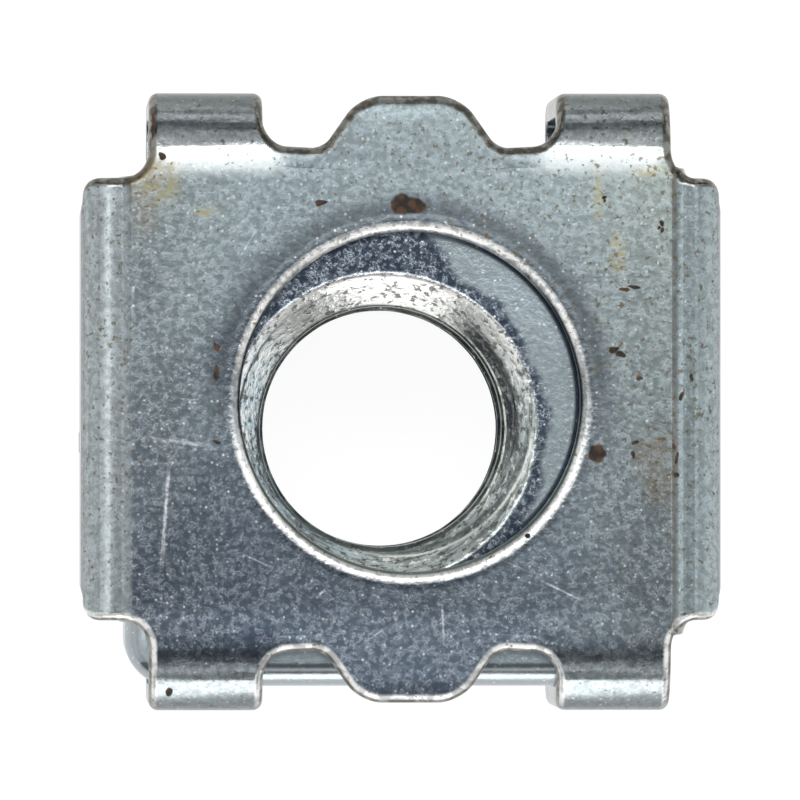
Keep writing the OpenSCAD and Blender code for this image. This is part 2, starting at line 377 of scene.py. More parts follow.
# Nut: a square block, bored, countersunk and tapped
nut = {
    "centre": (-0.37, -0.55),
    "across": 10.8,
    "low": 3.85614,
    "thickness": 4.4,
    "corner": 1.0,
    "cornerFineness": 0.06,
    "edge": 0.5,
    "bore": 2.475,
    "major": 3.03,
    "pitch": 1.0,
    "rootFlat": 0.2,              # shares of half a turn
    "flank": 0.7,
    "start": 0.83,                # height of a groove's middle at +X, which turns the thread
    "worn": 0.09,                 # the first threads are cut back by this much
    "wornDepths": (0.5, 1.7),
    "meeting": 0.05,              # rounding where countersink and thread meet
    "mouth": 3.26,
    "sink": [(0, 3.26), (0.008, 3.21), (0.034, 3.16), (0.08, 3.09), (0.35, 2.72), (0.42, 2.64), (0.51, 2.57),
             (0.62, 2.51), (0.8, 2.46)],
    "rows": [(0.1, 0.012), (0.9, 0.025), (9.0, 0.045)],  # down to this depth, rows of points this far apart
    "around": 288,
}


def boreRadius(height, angle):
    # the larger of the countersink and the thread, with the corner between them rounded
    n = nut
    depth = min(height, n["thickness"] - height)
    cone = n["sink"][-1][1]
    for (a, outer), (b, inner) in zip(n["sink"], n["sink"][1:]):
        if depth <= b:
            cone = outer + (inner - outer) * (depth - a) / (b - a)
            break
    turn = ((height - n["start"]) / n["pitch"] - angle / math.tau + 0.5) % 1
    crest = n["bore"] + n["worn"] * (1 - eased(depth, *n["wornDepths"]))
    cut = min(1, max(0, (1 - abs(2 * turn - 1) - n["rootFlat"]) / n["flank"]))
    thread = crest + (n["major"] - crest) * cut
    gap, rounding = cone - thread, n["meeting"]
    if abs(gap) < rounding:
        return (cone + thread) / 2 + (gap * gap / rounding + rounding) / 4
    return max(cone, thread)


def makeNut():
    n = nut
    half = n["across"] / 2
    bm = bmesh.new()
    corners = [(x * half, y * half, n["corner"]) for x, y in ((1, 1), (-1, 1), (-1, -1), (1, -1))]
    roundedFace(bm, corners, n["cornerFineness"])
    grown = bmesh.ops.extrude_face_region(bm, geom=bm.faces[:], use_keep_orig=True)
    upper = [item for item in grown["geom"] if isinstance(item, bmesh.types.BMVert)]
    bmesh.ops.translate(bm, verts=upper, vec=(0, 0, n["thickness"]))
    rims = [edge for edge in bm.edges if abs(edge.verts[0].co.z - edge.verts[1].co.z) < 0.001]
    bmesh.ops.bevel(bm, geom=rims, offset=n["edge"], offset_type="OFFSET", segments=7, profile=0.5,
                    affect="EDGES", clamp_overlap=False, material=-1)
    ends = [face for face in bm.faces if len(face.verts) > 8]
    bmesh.ops.delete(bm, geom=ends, context="FACES_ONLY")

    # the bore is a line of points spun round, then pushed out to the thread
    heights, z = [], 0.0
    while z < n["thickness"] / 2:
        heights.append(z)
        z += next(step for limit, step in n["rows"] if z < limit)
    heights += [n["thickness"] - height for height in reversed(heights)]
    line = [bm.verts.new((n["mouth"], 0, height)) for height in heights]
    edges = [bm.edges.new(pair) for pair in zip(line, line[1:])]
    bmesh.ops.spin(bm, geom=line + edges, cent=(0, 0, 0), axis=(0, 0, 1), angle=math.tau,
                   steps=n["around"], use_merge=True)
    boreLimit = n["mouth"] + 0.01
    bmesh.ops.remove_doubles(bm, verts=[vert for vert in bm.verts if vert.co.xy.length < boreLimit],
                             dist=weld)
    for vert in [vert for vert in bm.verts if vert.co.xy.length < boreLimit]:
        x, y, z = vert.co
        factor = boreRadius(z, math.atan2(y, x)) / vert.co.xy.length
        vert.co = (x * factor, y * factor, z)
    for height in (0, n["thickness"]):
        openEdges = [edge for edge in bm.edges if len(edge.link_faces) == 1
                     and all(abs(vert.co.z - height) < 0.001 for vert in edge.verts)]
        bmesh.ops.triangle_fill(bm, use_beauty=True, edges=openEdges, normal=(0, 0, 1))
    bmesh.ops.translate(bm, verts=bm.verts, vec=(*n["centre"], n["low"]))
    return toMetres(newPiece("nutTapped", bm))


nutTapped = makeNut()
print("nut tapped:", len(nutTapped.data.polygons), "faces")


# Finishes. Wherever one of these takes a value, it takes a number or another node's output.
def put(tree, socket, value):
    if hasattr(value, "is_output"):
        tree.links.new(value, socket)
    else:
        socket.default_value = value


def calc(tree, operation, a, b=0.0, clamp=False):
    node = tree.nodes.new("ShaderNodeMath")
    node.operation = operation
    node.use_clamp = clamp
    put(tree, node.inputs[0], a)
    put(tree, node.inputs[1], b)
    return node.outputs[0]


def plus(tree, a, b):
    return calc(tree, "ADD", a, b)


def minus(tree, a, b):
    return calc(tree, "SUBTRACT", a, b)


def larger(tree, a, b):
    return calc(tree, "MAXIMUM", a, b)


def absolute(tree, value):
    return calc(tree, "ABSOLUTE", value)


def apart(tree, a, b):
    return absolute(tree, minus(tree, a, b))


def inverse(tree, mask):
    return minus(tree, 1.0, mask)


def times(tree, *factors):
    product = factors[0]
    for factor in factors[1:]:
        product = calc(tree, "MULTIPLY", product, factor)
    return product


def ramp(tree, value, low, high, first=0.0, last=1.0):
    node = tree.nodes.new("ShaderNodeMapRange")
    node.interpolation_type = "SMOOTHSTEP"
    put(tree, node.inputs["Value"], value)
    for label, setting in (("From Min", low), ("From Max", high), ("To Min", first), ("To Max", last)):
        put(tree, node.inputs[label], setting)
    return node.outputs["Result"]


def span(tree, length, low, high, first=0.0, last=1.0):
    # a ramp between two lengths in millimetres
    return ramp(tree, length, low * mm, high * mm, first, last)


def blend(tree, factor, a, b, how="MIX"):
    node = tree.nodes.new("ShaderNodeMix")
    node.data_type = "RGBA"
    node.blend_type = how
    put(tree, node.inputs[0], factor)
    for socket, value in ((node.inputs[6], a), (node.inputs[7], b)):
        put(tree, socket, (*value, 1) if isinstance(value, tuple) else value)
    return node.outputs[2]


def noise(tree, vector, scale, detail=2.0, roughness=0.5, output="Fac"):
    node = tree.nodes.new("ShaderNodeTexNoise")
    tree.links.new(vector, node.inputs["Vector"])
    for label, value in (("Scale", scale), ("Detail", detail), ("Roughness", roughness)):
        put(tree, node.inputs[label], value)
    return node.outputs[output]


def vectorCalc(tree, operation, vector, a, b=(0, 0, 0)):
    node = tree.nodes.new("ShaderNodeVectorMath")
    node.operation = operation
    tree.links.new(vector, node.inputs[0])
    put(tree, node.inputs[1], a)
    if hasattr(b, "is_output") or any(b):
        put(tree, node.inputs[2], b)
    return node.outputs["Value" if operation in ("LENGTH", "DOT_PRODUCT") else "Vector"]


def lengthOf(tree, vector):
    return vectorCalc(tree, "LENGTH", vector, (0, 0, 0))


def parts(tree, vector):
    node = tree.nodes.new("ShaderNodeSeparateXYZ")
    tree.links.new(vector, node.inputs[0])
    return node.outputs


def flatFrom(tree, coords, x, y):
    # the way from an upright axis, looked at from above
    return vectorCalc(tree, "MULTIPLY_ADD", coords, (1, 1, 0), (-x * mm, -y * mm, 0))


def ovals(tree, vector, places):
    # how far off the nearest oval on the rear plate is: x, y, half width and half height
    flatness, nearest = 800.0, None
    for x, y, wide, high in places:
        scale = (1 / (wide * mm), 1 / (high * mm), flatness)
        start = tuple(-k * part * mm for k, part in zip(scale, (x, y, cage["plateTop"])))
        oval = lengthOf(tree, vectorCalc(tree, "MULTIPLY_ADD", vector, scale, start))
        nearest = oval if nearest is None else calc(tree, "MINIMUM", nearest, oval)
    return nearest


def lines(tree, vector, places):
    # a mask of straight scratches: x, y, half length, half width, turn in degrees, strength
    mask = None
    for x, y, long, wide, turn, strength in places:
        c, s = math.cos(math.radians(turn)), math.sin(math.radians(turn))
        along = vectorCalc(tree, "DOT_PRODUCT", vector, (c / (long * mm), s / (long * mm), 0))
        across = vectorCalc(tree, "DOT_PRODUCT", vector, (-s / (wide * mm), c / (wide * mm), 0))
        a = apart(tree, along, (c * x + s * y) / long)
        b = apart(tree, across, (c * y - s * x) / wide)
        inside = calc(tree, "SUBTRACT", 1.0, larger(tree, a, b), clamp=True)
        line = times(tree, inside, strength)
        mask = line if mask is None else larger(tree, mask, line)
    return mask


def relief(tree, shader, height, distance):
    bump = tree.nodes.new("ShaderNodeBump")
    bump.inputs["Strength"].default_value = 1.0
    bump.inputs["Distance"].default_value = distance * mm
    tree.links.new(height, bump.inputs["Height"])
    tree.links.new(bump.outputs["Normal"], shader.inputs["Normal"])


def newMaterial(name):
    material = bpy.data.materials.new(name)
    material.use_nodes = True
    return material, material.node_tree, material.node_tree.nodes["Principled BSDF"]


def ownPlace(tree):
    return tree.nodes.new("ShaderNodeTexCoord").outputs["Object"]


# The plating's grain, which both pieces share
plating = {
    "fine": (8800.0, 3.0, 0.62),  # scale, detail and roughness of the noise
    "soft": (5200.0, 3.0, 0.60),
    "cells": 8600.0,
    "pointSize": 0.36,
    "pointRarity": 2.5,
    "wispAt": 0.52,
    "wispWidth": 0.07,
}


def zincGrain():
    # the plating's crystals: soft mottling, light wisps between them and bright points
    group = bpy.data.node_groups.new("zincGrain", "ShaderNodeTree")
    group.interface.new_socket("Vector", in_out="INPUT", socket_type="NodeSocketVector")
    for label in ("Mottle", "Wisps", "Points", "Height"):
        group.interface.new_socket(label, in_out="OUTPUT", socket_type="NodeSocketFloat")
    vector = group.nodes.new("NodeGroupInput").outputs["Vector"]
    result = group.nodes.new("NodeGroupOutput")
    fine = noise(group, vector, *plating["fine"])
    soft = noise(group, vector, *plating["soft"])
    cells = group.nodes.new("ShaderNodeTexVoronoi")
    group.links.new(vector, cells.inputs["Vector"])
    cells.inputs["Scale"].default_value = plating["cells"]
    split = group.nodes.new("ShaderNodeSeparateColor")
    group.links.new(cells.outputs["Color"], split.inputs[0])
    dot = ramp(group, cells.outputs["Distance"], plating["pointSize"], 0.0)
    chosen = calc(group, "POWER", split.outputs[0], plating["pointRarity"])
    mottle = ramp(group, plus(group, soft, times(group, fine, 1.1)), 0.86, 1.24)
    line = ramp(group, apart(group, fine, plating["wispAt"]), plating["wispWidth"], 0.0)
    wisps = times(group, line, ramp(group, soft, 0.40, 0.58))
    for label, value in (("Mottle", mottle), ("Wisps", wisps), ("Points", times(group, dot, chosen)),
                         ("Height", plus(group, soft, fine))):
        group.links.new(value, result.inputs[label])
    return group


grainGroup = zincGrain()


def grainOf(tree, coords):
    node = tree.nodes.new("ShaderNodeGroup")
    node.node_tree = grainGroup
    tree.links.new(coords, node.inputs["Vector"])
    return node.outputs


# The cage's colours, and the marks on its rear plate
cageFinish = {
    "darkZinc": (0.112, 0.136, 0.182),       # painted shade, low on the left
    "paleZinc": (0.262, 0.318, 0.332),       # painted light, towards the upper right
    "warmth": (1.04, 1.0, 0.90),             # towards both sides
    "leftWing": (0.40, 0.445, 0.46),
    "rightWing": (0.37, 0.435, 0.45),
    "rightCrest": (0.255, 0.31, 0.325),
    "leftRoot": (0.28, 0.315, 0.33),
    "rightRoot": (0.235, 0.285, 0.30),
    "darkMottle": (0.035, 0.055, 0.08),
    "paleMottle": (0.11, 0.125, 0.12),
    "wisps": (0.52, 0.58, 0.62),
    "points": (0.90, 0.93, 0.96),
    "walls": (0.11, 0.125, 0.13),
    "tabBand": (0.62, 0.65, 0.65),
    "dish": (0.045, 0.052, 0.062),
    "rim": (0.97, 0.97, 0.95),
    "holeWallBelow": (0.20, 0.235, 0.215),
    "holeWallAbove": (0.01, 0.018, 0.03),
    "outerTabs": (0.15, 0.165, 0.155),
    "brownDirt": (0.085, 0.077, 0.062),
    "greyDirt": (0.23, 0.23, 0.21),
    "wornEdge": (0.95, 0.95, 0.93),
    "crease": (0.10, 0.095, 0.085),
    "stainColour": (0.36, 0.31, 0.15),
    "smudgeColour": (0.17, 0.15, 0.12),
    "dots": (0.11, 0.085, 0.045),
    "scratchColour": (0.88, 0.90, 0.94),
    "deepRust": (0.016, 0.010, 0.007),
    "paleRust": (0.075, 0.038, 0.018),
    "creaseAt": 5.69,
    "ragged": 0.16,                          # how far the outlines of the marks stray
    "grainDepth": 0.0035,
    "rust": [
        (0.00, 4.12, 0.22, 0.20), (0.24, 4.08, 0.26, 0.16), (4.07, -1.08, 0.17, 0.18),
        (4.56, 0.98, 0.11, 0.06), (4.42, 1.08, 0.09, 0.07), (-3.86, 1.14, 0.05, 0.09),
        (-3.86, 0.60, 0.06, 0.15), (-3.86, -0.83, 0.07, 0.04), (5.35, 3.62, 0.035, 0.05),
        (5.42, 3.70, 0.030, 0.07), (5.42, 3.56, 0.040, 0.05), (4.86, 2.38, 0.13, 0.045),
        (4.64, 2.31, 0.11, 0.04), (6.03, 0.48, 0.035, 0.08), (5.84, 0.10, 0.045, 0.08),
        (-1.68, 4.14, 0.12, 0.05), (2.63, -2.78, 0.05, 0.045), (4.25, 4.28, 0.04, 0.04),
        (4.26, 4.20, 0.03, 0.04), (-5.18, 5.75, 0.04, 0.28), (-5.0, 5.10, 0.07, 0.08),
        (-4.85, -6.05, 0.07, 0.10), (4.96, 0.46, 0.08, 0.035), (4.88, -0.84, 0.08, 0.05),
        (4.81, -1.12, 0.035, 0.09), (5.69, -0.93, 0.03, 0.06), (5.74, -1.20, 0.04, 0.12),
        (5.72, -1.55, 0.07, 0.05),
    ],
    "stain": [
        (4.12, 4.30, 0.15, 0.60), (4.5, 3.1, 0.22, 0.5), (-5.10, 4.60, 0.55, 0.60),
        (-4.10, 3.95, 0.35, 0.14), (5.20, 4.80, 0.35, 0.16),
    ],
    "smudge": [
        (5.25, -1.15, 0.42, 0.55), (5.35, -1.75, 0.32, 0.45), (5.68, -1.2, 0.07, 1.3),
        (-5.15, 4.75, 0.35, 0.35), (-5.6, 4.5, 0.10, 0.45), (-5.35, 3.9, 0.25, 0.5),
        (5.66, 4.3, 0.06, 0.5),
    ],
    "scratch": [
        (3.35, -3.95, 0.50, 0.030, -26, 0.8), (0.86, -4.62, 0.50, 0.030, 93, 0.5),
        (-1.66, -3.97, 0.10, 0.04, 35, 1.0), (-4.92, -2.25, 1.30, 0.050, 86, 0.75),
        (-4.60, -0.85, 0.75, 0.06, -6, 0.45), (2.3, -3.4, 0.50, 0.025, -24, 0.4),
        (-3.05, -3.30, 0.42, 0.025, -25, 0.6), (-3.2, 3.3, 0.4, 0.025, 60, 0.35),
        (-0.6, -4.9, 0.4, 0.025, 35, 0.35),
    ],
}


def cagePlaces(tree, coords):
    # where on the cage a point is, with a mask for each part
    at = SimpleNamespace()
    at.x, at.y, at.z = parts(tree, coords)
    at.side, at.end = absolute(tree, at.x), absolute(tree, at.y)
    at.lean = plus(tree, times(tree, at.x, 0.43), at.y)  # grows towards the upper right
    at.tabs = span(tree, apart(tree, at.x, cage["shift"] * mm), 2.3, 3.1)
    at.wings = span(tree, at.side, 5.55, 5.75)
    at.bends = larger(tree, at.wings, times(tree, span(tree, at.end, 5.1, 5.8), at.tabs))
    at.top = span(tree, at.z, 8.0, 8.6)
    at.right = span(tree, at.x, -4.0, 4.0)
    at.radius = lengthOf(tree, flatFrom(tree, coords, cage["shift"], 0))
    at.up = calc(tree, "DIVIDE", at.y, at.radius)        # 1 above the hole, -1 below it
    at.near = span(tree, at.radius, 4.2, 3.9)
    at.far = inverse(tree, at.near)
    edge = tree.nodes.new("ShaderNodeAttribute")
    edge.attribute_name = "edge"
    at.edge = edge.outputs["Fac"]
    at.grain = grainOf(tree, coords)
    at.mottle = at.grain["Mottle"]
    at.cloud = noise(tree, coords, 520.0, 3.0)
    at.blotch = ramp(tree, noise(tree, coords, 5200.0, 2.0), 0.38, 0.62)
    return at


def platedSheet(tree, at):
    # bluish and dark low on the left, pale towards the upper right and on the bends: the slope from dark to
    # pale is painted shade and light over a random cloud
    f = cageFinish
    tone = plus(tree, times(tree, at.lean, 1 / (14 * mm)), times(tree, at.cloud, 0.3))
    tone = calc(tree, "ADD", tone, 0.35, clamp=True)
    colour = blend(tree, tone, f["darkZinc"], f["paleZinc"])
    colour = blend(tree, times(tree, span(tree, at.side, 3.0, 5.4), 0.8), colour, f["warmth"], "MULTIPLY")
    rightWing = times(tree, at.right, at.wings)
    bent = blend(tree, rightWing, f["leftWing"], f["rightWing"])
    # painted shade: the right wing's outer crest and the wings' inner slopes are darker
    bent = blend(tree, times(tree, span(tree, at.x, 6.45, 6.10), rightWing), bent, f["rightCrest"])
    roots = times(tree, span(tree, at.side, 6.05, 5.90), at.wings)
    bent = blend(tree, roots, bent, blend(tree, at.right, f["leftRoot"], f["rightRoot"]))
    colour = blend(tree, at.bends, colour, bent)

    # the grain is quieter where the sheet is pale
    at.tone = larger(tree, tone, at.bends)
    at.quiet = inverse(tree, times(tree, at.tone, 0.40))
    ground = times(tree, inverse(tree, at.mottle), 0.66, at.quiet)
    colour = blend(tree, ground, colour, blend(tree, at.tone, f["darkMottle"], f["paleMottle"]))
    colour = blend(tree, times(tree, at.grain["Wisps"], 0.34, at.quiet), colour, f["wisps"])

    # painted shade: the steep outer walls of the bends are darker; painted highlight: the upper tabs shine
    # where they start to bend
    drop = minus(tree, at.z, times(tree, at.wings, 0.18 * mm))
    wall = times(tree, span(tree, drop, 8.72, 8.35), span(tree, at.z, 7.2, 8.0, 0.2, 1), at.bends)
    colour = blend(tree, times(tree, wall, 0.65), colour, f["walls"])
    band = times(tree, span(tree, at.y, 4.6, 5.0), span(tree, at.y, 5.7, 5.3), at.tabs,
                 span(tree, at.side, 5.6, 5.1))
    return blend(tree, times(tree, band, 0.6), colour, f["tabBand"])


def holeRim(tree, at, colour):
    # round the hole the sheet takes a painted dark reflection, darkest above, and its rim a painted
    # highlight above and below
    f = cageFinish
    shadeAbove = plus(tree, times(tree, ramp(tree, at.up, -0.30, 0.25), 0.55), 0.12)
    dish = times(tree, span(tree, at.radius, 4.5, 4.0), at.top, shadeAbove)
    colour = blend(tree, dish, colour, f["dish"])
    rimEnd = ramp(tree, at.up, -0.1, 0.2, 3.84 * mm, 3.78 * mm)
    at.rim = times(tree, span(tree, minus(tree, rimEnd, at.radius), 0.0, 0.1),
                   ramp(tree, absolute(tree, at.up), 0.05, 0.5, 0.25, 1.0),
                   ramp(tree, at.mottle, 0.0, 0.7, 0.6, 1.0))
    colour = blend(tree, at.rim, colour, f["rim"])
    # painted shade on the hole's wall, darkest above
    height = minus(tree, at.z, ramp(tree, at.up, -0.2, -0.6, 0.0, 0.035 * mm))
    steep = times(tree, at.near, span(tree, height, 8.96, 8.89), ramp(tree, at.up, 0.85, 0.5))
    wall = blend(tree, ramp(tree, at.up, -0.5, 0.0), f["holeWallBelow"], f["holeWallAbove"])
    return blend(tree, steep, colour, wall)


def punchedEdges(tree, at, colour):
    # painted shade: the outer faces of the upper tabs are greyer
    f = cageFinish
    outer = times(tree, span(tree, at.y, 5.95, 6.30), at.tabs)
    colour = blend(tree, times(tree, outer, 0.5), colour, f["outerTabs"])

    # punched edges: brown dirt and painted shade, strongest above, a painted highlight below, and dirt with
    # painted shade at the very rim
    dirt = blend(tree, at.blotch, f["brownDirt"], f["greyDirt"])
    grime = times(tree, ramp(tree, at.edge, 0.0, 0.09), at.far, span(tree, at.y, -3.0, 1.0, 0.15, 0.9),
                  span(tree, at.z, 7.0, 8.2, 0.3, 1))
    colour = blend(tree, grime, colour, dirt)
    at.shiny = times(tree, ramp(tree, at.edge, 0.0, 0.15), at.far, span(tree, at.y, -2.0, -4.5), at.top)
    colour = blend(tree, times(tree, at.shiny, ramp(tree, at.blotch, 0, 1, 0.5, 0.9)), colour, f["wornEdge"])
    outermost = times(tree, ramp(tree, at.edge, 0.45, 0.95), at.far, span(tree, at.z, 7.0, 8.2, 0.35, 0.85))
    colour = blend(tree, outermost, colour, dirt)
    # painted shade with dirt in the crease beside each wing
    crease = span(tree, apart(tree, at.x, f["creaseAt"] * mm), 0.10, 0.01)
    crease = times(tree, crease, at.top, ramp(tree, at.cloud, 0.3, 0.62, 0.45, 0.85))
    return blend(tree, crease, colour, f["crease"])


def markedSheet(tree, at, coords, colour):
    # stains, smudges, specks, scratches and rust
    f = cageFinish
    stray = vectorCalc(tree, "MULTIPLY_ADD", noise(tree, coords, 4200.0, 1.0, output="Color"),
                       (f["ragged"] * mm,) * 3, coords)
    ragged = vectorCalc(tree, "ADD", stray, (-f["ragged"] * mm / 2,) * 3)
    stain = times(tree, ramp(tree, ovals(tree, ragged, f["stain"]), 1.25, 0.3),
                  ramp(tree, at.mottle, 0.9, 0.2, 0.15, 1))
    colour = blend(tree, times(tree, stain, 0.55), colour, f["stainColour"])
    smudge = ramp(tree, ovals(tree, ragged, f["smudge"]), 1.5, 0.3)
    uneven = ramp(tree, at.blotch, 0, 1, 1, 0.5)
    colour = blend(tree, times(tree, smudge, 0.6, uneven), colour, f["smudgeColour"])
    dirty = span(tree, plus(tree, at.lean, times(tree, at.x, 0.9)), -4.0, 9.0, 0.0, 0.06)
    dirty = plus(tree, dirty, times(tree, larger(tree, stain, smudge), 0.05))
    dirty = larger(tree, plus(tree, dirty, 0.012), times(tree, at.wings, 0.06))
    dots = ramp(tree, plus(tree, noise(tree, coords, 8200.0, 2.0, 0.6), dirty), 0.655, 0.745)
    colour = blend(tree, times(tree, dots, 0.75), colour, f["dots"])
    scratch = times(tree, lines(tree, coords, f["scratch"]), at.top, ramp(tree, at.mottle, 0, 1, 0.5, 1))
    colour = blend(tree, scratch, colour, f["scratchColour"])
    at.rust = ramp(tree, ovals(tree, ragged, f["rust"]), 1.25, 0.85)
    return blend(tree, at.rust, colour, blend(tree, at.blotch, f["deepRust"], f["paleRust"]))


def zincSheet():
    material, tree, shader = newMaterial("zincSheet")
    coords = ownPlace(tree)
    at = cagePlaces(tree, coords)
    colour = holeRim(tree, at, platedSheet(tree, at))
    colour = blend(tree, times(tree, at.grain["Points"], at.quiet, 0.7), colour, cageFinish["points"])
    colour = markedSheet(tree, at, coords, punchedEdges(tree, at, colour))
    tree.links.new(colour, shader.inputs["Base Color"])
    tree.links.new(inverse(tree, at.rust), shader.inputs["Metallic"])

    # the flat plate is hazier than the bends
    smooth = larger(tree, at.wings, times(tree, span(tree, at.end, 4.9, 5.4), at.tabs))
    haze = larger(tree, times(tree, at.tone, 0.13), times(tree, span(tree, at.end, 4.0, 5.0), 0.2))
    rough = plus(tree, times(tree, haze, inverse(tree, smooth)), ramp(tree, at.cloud, 0.3, 0.7, 0.20, 0.25))
    worn = times(tree, larger(tree, at.rim, at.shiny), 0.14)
    rough = plus(tree, rough, plus(tree, times(tree, at.rust, 0.5), worn))
    tree.links.new(rough, shader.inputs["Roughness"])
    deeper = span(tree, at.radius, 3.95, 3.8, 1.0, 3.0)
    shallower = ramp(tree, at.wings, 0, 1, 1, 0.35)
    relief(tree, shader, times(tree, at.grain["Height"], deeper, shallower), cageFinish["grainDepth"])
    return material


nutFinish = {
    "darkFace": (0.085, 0.105, 0.135),
    "paleFace": (0.30, 0.355, 0.38),
    "mottle": (0.012, 0.022, 0.04),
    "wisps": (0.50, 0.57, 0.63),
    "points": (0.97, 0.98, 1.0),
    "rolledEdge": (0.36, 0.40, 0.42),
    "underSheet": (0.012, 0.02, 0.035),
    "sinkAbove": (0.97, 0.97, 0.94),
    "sinkBelow": (0.56, 0.63, 0.625),
    "sinkLeft": (0.60, 0.76, 0.86),
    "sinkRight": (0.025, 0.030, 0.045),
    "streaks": (0.17, 0.19, 0.18),
    "pits": (0.09, 0.09, 0.07),
    "sparkle": (0.98, 0.98, 0.95),
    "bore": (0.05, 0.065, 0.06),
    "valley": (0.09, 0.11, 0.12),
    "crest": (0.93, 0.95, 0.87),
    "spiralStart": 3.145,         # radius of the first crest at +X
    "spiralRise": 0.30,           # and how much it grows in a radian
    "innerCrest": 2.605,
    "grainDepth": 0.007,
}


def nutPlaces(tree, coords):
    at = SimpleNamespace()
    at.flat = flatFrom(tree, coords, *nut["centre"])
    at.radius = lengthOf(tree, at.flat)
    at.depth = parts(tree, coords)[2]

    def facing(x, y):
        # 1 on this side of the bore, and -1 on the other
        return calc(tree, "DIVIDE", vectorCalc(tree, "DOT_PRODUCT", at.flat, (x, y, 0)), at.radius)

    at.paleSide = facing(0.97, 0.24)
    at.rightSide = facing(0.94, 0.34)
    at.topSide = facing(-0.2, 0.98)
    across, up, _ = parts(tree, at.flat)
    at.turn = calc(tree, "ARCTAN2", up, across)
    at.grain = grainOf(tree, coords)
    at.cloud = noise(tree, coords, 700.0, 3.0, 0.55)
    at.sink = span(tree, at.radius, 3.30, 3.16)
    at.swirl = noise(tree, vectorCalc(tree, "MULTIPLY", coords, (1, 1, 2.5)), 5600.0, 3.0, 0.65)
    return at


def nutFace(tree, at, coords):
    # painted shade and light: dark and grainy by the countersink and at the upper left, smooth and pale at
    # the right
    f = nutFinish
    uneven = times(tree, minus(tree, at.cloud, 0.5), 0.9 * mm)
    start = plus(tree, ramp(tree, at.paleSide, 0.70, 0.34, 3.52 * mm, 4.3 * mm), uneven)
    softness = ramp(tree, at.paleSide, 0.75, 0.45, 0.10 * mm, 0.32 * mm)
    at.pale = ramp(tree, minus(tree, at.radius, start), -0.12 * mm, softness)
    colour = blend(tree, at.pale, f["darkFace"], f["paleFace"])
    rough = inverse(tree, times(tree, at.pale, 0.85))
    mottle = times(tree, inverse(tree, at.grain["Mottle"]), 0.7, rough)
    colour = blend(tree, mottle, colour, f["mottle"])
    colour = blend(tree, times(tree, at.grain["Wisps"], 0.6, rough), colour, f["wisps"])
    across, up, _ = parts(tree, vectorCalc(tree, "ABSOLUTE", at.flat, (0, 0, 0)))
    colour = blend(tree, span(tree, larger(tree, across, up), 4.88, 5.15), colour, f["rolledEdge"])

    # painted shadow: a dark line where the sheet lies just above the face
    sheetRadius = lengthOf(tree, flatFrom(tree, coords, cage["shift"], 0))
    shade = times(tree, span(tree, sheetRadius, 3.43, 3.51), span(tree, sheetRadius, 3.9, 3.6),
                  ramp(tree, at.paleSide, 0.3, 0.7))
    return blend(tree, times(tree, shade, 0.92), colour, f["underSheet"])


def sinkAndBore(tree, at):
    # painted light and shade: bright above, bluish at the left, dim at the right and dark down the bore;
    # pitted above, with painted glints
    f = nutFinish
    ring = tree.nodes.new("ShaderNodeCombineXYZ")
    for socket, value, scale in zip(ring.inputs, (at.turn, at.radius, at.depth), (4.0, 12000.0, 9000.0)):
        tree.links.new(times(tree, value, scale), socket)
    streak = noise(tree, ring.outputs[0], 1.0, 2.0, 0.6)
    worn = blend(tree, ramp(tree, at.topSide, 0.55, -0.15), f["sinkAbove"], f["sinkBelow"])
    worn = blend(tree, ramp(tree, at.rightSide, -0.3, -0.9, 0.0, 0.8), worn, f["sinkLeft"])
    dim = times(tree, ramp(tree, at.rightSide, 0.70, 0.95), span(tree, at.radius, 2.95, 2.80))
    worn = blend(tree, times(tree, dim, 0.95), worn, f["sinkRight"])
    streaks = times(tree, ramp(tree, streak, 0.42, 0.60), ramp(tree, at.topSide, 0.6, 0.0, 0.12, 0.7))
    worn = blend(tree, streaks, worn, f["streaks"])
    at.pits = times(tree, ramp(tree, at.swirl, 0.46, 0.38), 0.85)
    worn = blend(tree, at.pits, worn, f["pits"])
    # painted glints, most above and fewest where the right side is shaded
    sparkle = plus(tree, at.swirl, ramp(tree, at.topSide, -0.3, 0.2, 0.0, 0.07))
    sparkle = times(tree, ramp(tree, sparkle, 0.58, 0.66), inverse(tree, times(tree, dim, 0.8)))
    worn = blend(tree, sparkle, worn, f["sparkle"])
    return blend(tree, span(tree, at.radius, 2.64, 2.58, 0, 0.85), worn, f["bore"])


def threadCrests(tree, at, worn):
    # painted highlight: the thread's crests shine where they come out of the countersink, with painted shade
    # in the valley just inside them
    f = nutFinish
    spiral = plus(tree, times(tree, at.turn, f["spiralRise"] * mm), f["spiralStart"] * mm)
    shown = times(tree, ramp(tree, at.turn, -1.9, -1.3), ramp(tree, at.turn, 0.3, -0.3))
    crest = times(tree, span(tree, apart(tree, at.radius, spiral), 0.035, 0.01), shown)
    inside = plus(tree, at.radius, 0.09 * mm)
    valley = times(tree, span(tree, apart(tree, inside, spiral), 0.09, 0.03), shown)
    worn = blend(tree, times(tree, valley, 0.6), worn, f["valley"])
    inner = times(tree, span(tree, apart(tree, at.radius, f["innerCrest"] * mm), 0.03, 0.01),
                  ramp(tree, at.rightSide, 0.1, 0.6))
    crest = times(tree, larger(tree, crest, inner), ramp(tree, at.swirl, 0.36, 0.5, 0.3, 1))
    return blend(tree, crest, worn, f["crest"])


